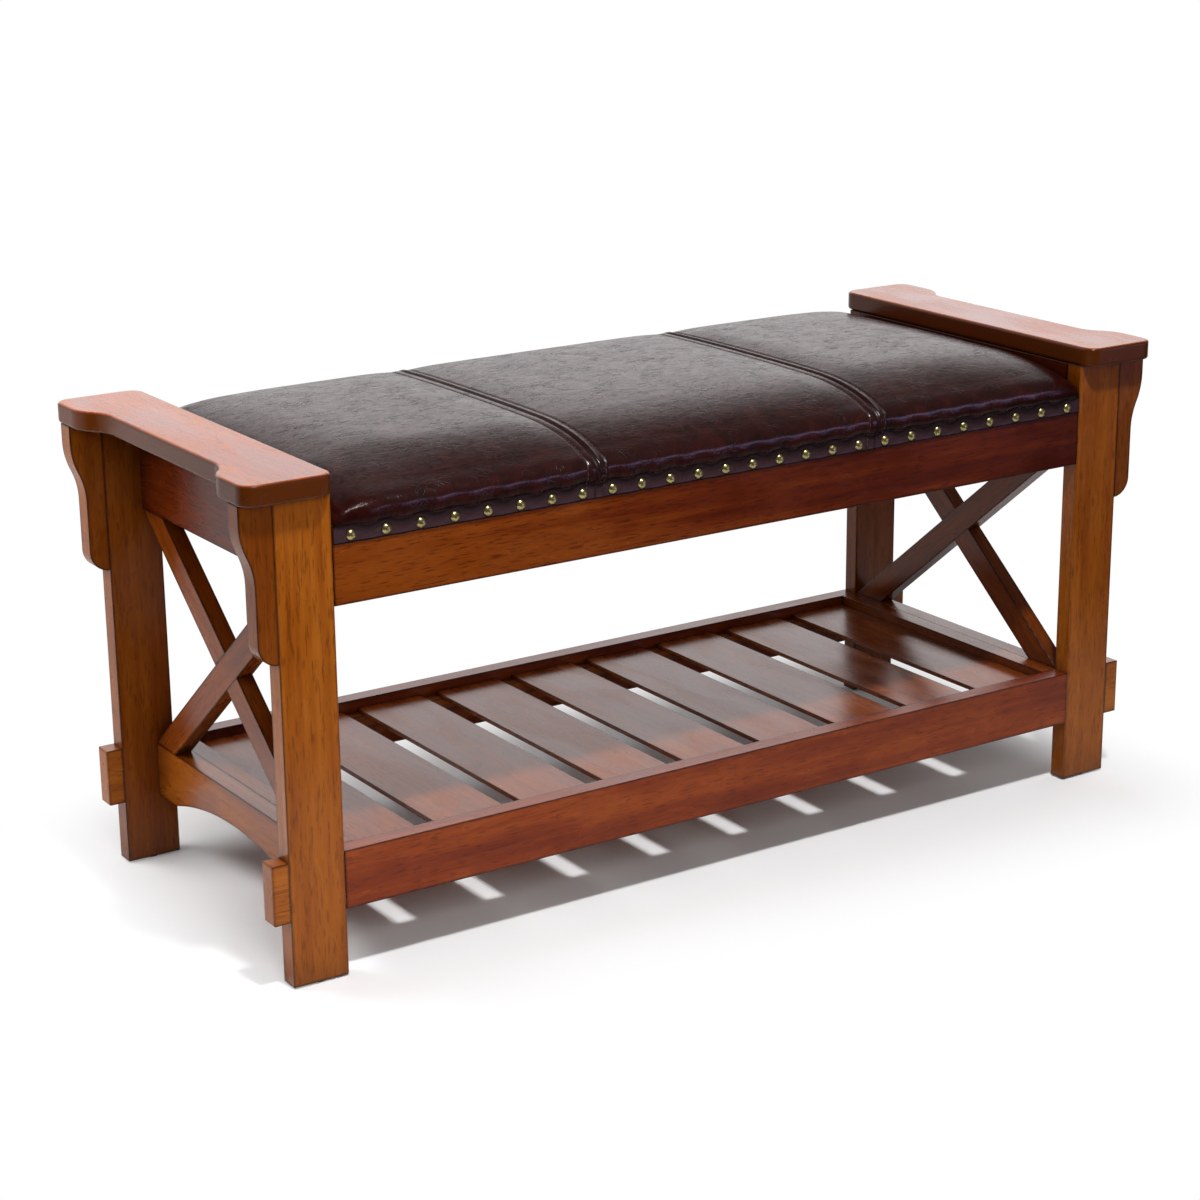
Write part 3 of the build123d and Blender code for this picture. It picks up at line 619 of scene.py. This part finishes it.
STITCH_START = 0.004  # clear of the cover's lower edges
STITCH_PITCH, STITCH_RUN = 0.0058, 0.0046
THREAD_RADIUS = 0.00045


def thread(name):
    g = Graph(name)
    twist = g.noise(g.mapped(g.place(), (900, 900, 900)), detail=2)
    g.feed(g.shader.inputs["Base Color"], g.mix(twist, (0.030, 0.013, 0.009), (0.085, 0.042, 0.030)))
    g.feed(g.shader.inputs["Normal"], g.bump(twist, 0.4, 0.0002))
    g.shader.inputs["Roughness"].default_value = 0.55
    return g.material


def stitch(path, out, radius):
    """One stitch: a thread that rises from its hole, lies on the leather and goes down again."""
    rings, sides = 7, 6
    verts, faces = [], []
    along = path[-1] - path[0]
    along = along / np.linalg.norm(along)
    for k in range(rings):
        t = k / (rings - 1)
        at = path[0] * (1 - t) + path[-1] * t
        up = out / np.linalg.norm(out)
        side = np.cross(along, up)
        height = radius * (1.5 * math.sin(math.pi * t) ** 0.5 - 0.7)
        girth = radius * (0.55 + 0.45 * math.sin(math.pi * t) ** 0.5)
        for j in range(sides):
            a = 2 * math.pi * j / sides
            verts.append(at + up * (height + girth * math.sin(a)) + side * girth * math.cos(a))
    for k in range(rings - 1):
        for j in range(sides):
            n = (j + 1) % sides
            faces.append((k * sides + j, k * sides + n, (k + 1) * sides + n, (k + 1) * sides + j))
    faces.append(tuple(range(sides - 1, -1, -1)))
    faces.append(tuple((rings - 1) * sides + j for j in range(sides)))
    return verts, faces


def build_stitching():
    verts, faces = [], []
    for seam in (-SEAM_X, SEAM_X):
        for row in STITCH_ROWS:
            column = int(np.argmin(np.abs(fine_x - (seam + row))))
            line = skin[column]
            out = skin_normal[column]
            length = np.concatenate(([0], np.cumsum(np.linalg.norm(np.diff(line, axis=0), axis=1))))
            start = STITCH_START
            while start + STITCH_RUN < length[-1] - STITCH_START:
                ends = np.array((start, start + STITCH_RUN))
                path = np.stack([np.interp(ends, length, line[:, k]) for k in range(3)], 1)
                face = np.array([np.interp(start + STITCH_RUN / 2, length, out[:, k]) for k in range(3)])
                new_verts, new_faces = stitch(path, face, THREAD_RADIUS)
                base = len(verts)
                verts += new_verts
                faces += [tuple(base + i for i in f) for f in new_faces]
                start += STITCH_PITCH
    mesh = bpy.data.meshes.new("seat_stitching")
    mesh.from_pydata([tuple(v) for v in verts], [], faces)
    mesh.update()
    for polygon in mesh.polygons:
        polygon.use_smooth = True
    mesh.materials.append(thread("brown_thread"))
    obj = bpy.data.objects.new("seat_stitching", mesh)
    scene.collection.objects.link(obj)
    return obj


stitching = build_stitching()
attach(stitching, "root")


# Floor, light and camera

FLOOR_REACH = 14.0
GROUND_X, GROUND_Y = 0.46, 0.23  # half sizes of the ground right under the bench
PAPER_ENDS = (0.38, 0.66)  # outside that ground, where the white paper gives way to the dark room
PAPER_LEFT = 0.30  # how much further the paper goes on the left
ROOM_TONE = (0.10, 0.10, 0.105)
WHITE_FROM = 0.19  # outside that ground, where the camera sees plain white
SOFT_LIGHT = 0.14
CAMERA_PLACE = (-1.5850, -2.3602, 1.1191)
CAMERA_TURN = (33.263, 17.008, -0.575)  # azimuth, elevation and roll in degrees
LENS, SENSOR_WIDTH = 81.207, 36.0


def floor():
    reach = FLOOR_REACH
    corners = [(-reach, -reach, 0), (reach, -reach, 0), (reach, reach, 0), (-reach, reach, 0)]
    mesh = bpy.data.meshes.new("floor")
    mesh.from_pydata(corners, [], [(0, 1, 2, 3)])
    obj = bpy.data.objects.new("floor", mesh)
    scene.collection.objects.link(obj)
    g = Graph("pale_floor")
    cloud = g.noise(g.place(), scale=1.5, detail=2)
    paper = g.mix(cloud, (0.93, 0.93, 0.94), (0.95, 0.95, 0.955))
    g.shader.inputs["Roughness"].default_value = 1.0
    g.shader.inputs["Specular IOR Level"].default_value = 0.0
    place = g.split(g.place())
    beside = g.math("MAXIMUM", g.math("SUBTRACT", g.math("ABSOLUTE", place["X"]), GROUND_X), 0.0)
    before = g.math("MAXIMUM", g.math("SUBTRACT", g.math("ABSOLUTE", place["Y"]), GROUND_Y), 0.0)
    away = g.math("SQRT", g.math("ADD", g.math("POWER", beside, 2.0), g.math("POWER", before, 2.0)))
    to_left = g.fit(place["X"], -GROUND_X, -0.60, 0.0, PAPER_LEFT)
    beyond = g.fit(g.math("SUBTRACT", away, to_left), *PAPER_ENDS)
    g.feed(g.shader.inputs["Base Color"], g.mix(beyond, paper, ROOM_TONE))
    away = g.fit(away, 0.0, WHITE_FROM)
    path = g.add("ShaderNodeLightPath")
    behind = g.math("MULTIPLY", path.outputs["Is Glossy Ray"], g.fit(place["Y"], 0.2, 0.6))
    shown = g.math("MAXIMUM", path.outputs["Is Camera Ray"], path.outputs["Is Transmission Ray"])
    seen = g.math("MULTIPLY", away, g.math("MAXIMUM", shown, behind))
    white = g.add("ShaderNodeEmission")
    blend = g.add("ShaderNodeMixShader")
    g.link(seen, blend.inputs["Fac"])
    g.link(g.shader.outputs["BSDF"], blend.inputs[1])
    g.link(white.outputs["Emission"], blend.inputs[2])
    g.link(blend.outputs["Shader"], g.output.inputs["Surface"])
    mesh.materials.append(g.material)


def world():
    """Soft light all round; what the camera and reflections see behind the bench is white."""
    scene.world = bpy.data.worlds.new("studio")
    scene.world.use_nodes = True
    tree = scene.world.node_tree
    tree.nodes.clear()
    out = tree.nodes.new("ShaderNodeOutputWorld")
    mix = tree.nodes.new("ShaderNodeMixShader")
    soft = tree.nodes.new("ShaderNodeBackground")
    white = tree.nodes.new("ShaderNodeBackground")
    path = tree.nodes.new("ShaderNodeLightPath")
    way = tree.nodes.new("ShaderNodeTexCoord")
    parts = tree.nodes.new("ShaderNodeSeparateXYZ")
    behind = tree.nodes.new("ShaderNodeMapRange")
    behind.interpolation_type = "SMOOTHSTEP"
    behind.inputs["From Min"].default_value = 0.10
    behind.inputs["From Max"].default_value = 0.50
    gloss = tree.nodes.new("ShaderNodeMath")
    gloss.operation = "MULTIPLY"
    shown = tree.nodes.new("ShaderNodeMath")
    shown.operation = "MAXIMUM"
    seen = tree.nodes.new("ShaderNodeMath")
    seen.operation = "MAXIMUM"
    soft.inputs["Color"].default_value = (1, 1, 1, 1)
    soft.inputs["Strength"].default_value = SOFT_LIGHT
    white.inputs["Color"].default_value = (1, 1, 1, 1)
    white.inputs["Strength"].default_value = 1.0
    link = tree.links.new
    link(way.outputs["Generated"], parts.inputs[0])
    link(parts.outputs["Y"], behind.inputs["Value"])
    link(path.outputs["Is Glossy Ray"], gloss.inputs[0])
    link(behind.outputs["Result"], gloss.inputs[1])
    link(path.outputs["Is Camera Ray"], shown.inputs[0])
    link(path.outputs["Is Transmission Ray"], shown.inputs[1])
    link(shown.outputs[0], seen.inputs[0])
    link(gloss.outputs[0], seen.inputs[1])
    link(seen.outputs[0], mix.inputs["Fac"])
    link(soft.outputs[0], mix.inputs[1])
    link(white.outputs[0], mix.inputs[2])
    link(mix.outputs[0], out.inputs["Surface"])


def area(name, place, aim, size, power, colour=(1, 1, 1), gloss_only=False, matt_only=False):
    light = bpy.data.lights.new(name, "AREA")
    light.shape = "RECTANGLE"
    light.size, light.size_y = size
    light.energy = power
    light.color = colour
    obj = bpy.data.objects.new(name, light)
    obj.location = place
    obj.rotation_euler = (Vector(aim) - Vector(place)).to_track_quat("-Z", "Y").to_euler()
    obj.visible_camera = False
    obj.visible_diffuse = not gloss_only
    obj.visible_glossy = not matt_only
    scene.collection.objects.link(obj)


def camera():
    azimuth, elevation, roll = (math.radians(v) for v in CAMERA_TURN)
    level = math.cos(elevation)
    forward = Vector((math.sin(azimuth) * level, math.cos(azimuth) * level, -math.sin(elevation)))
    right = forward.cross(Vector((0, 0, 1))).normalized()
    down = forward.cross(right)
    turned_right = right * math.cos(roll) - down * math.sin(roll)
    turned_down = right * math.sin(roll) + down * math.cos(roll)
    data = bpy.data.cameras.new("camera")
    data.sensor_width = SENSOR_WIDTH
    data.lens = LENS
    obj = bpy.data.objects.new("camera", data)
    axes = Matrix((turned_right, -turned_down, -forward)).transposed().to_4x4()
    obj.matrix_world = Matrix.Translation(CAMERA_PLACE) @ axes
    scene.collection.objects.link(obj)
    scene.camera = obj


floor()
world()
area("key", (-0.32, -1.47, 3.30), (0, 0, 0.3), (0.24, 0.24), 86)
area("fill", (-0.90, -1.35, 0.85), (-0.4, -0.2, 0.35), (0.5, 0.5), 7, matt_only=True)
area("strip", (2.0, -2.8, 0.45), (0, -0.2, 0.45), (2.4, 0.8), 16, (0.60, 0.52, 1.0), gloss_only=True)
area("back", (1.6, 4.4, 1.85), (0, 0, 0.4), (7.0, 1.9), 47, (1.0, 0.93, 0.95), gloss_only=True)
area("left", (-0.95, 0.45, 0.70), (-0.95, 0.45, 0), (0.3, 0.8), 7, matt_only=True)
area("right", (2.4, 0.35, 1.0), (0.4, 0, 0.3), (1.6, 1.0), 8, matt_only=True)
area("rear", (0.7, 2.6, 0.80), (0, 0, 0.3), (2.0, 0.8), 11, matt_only=True)
camera()
scene.view_settings.view_transform = "Standard"
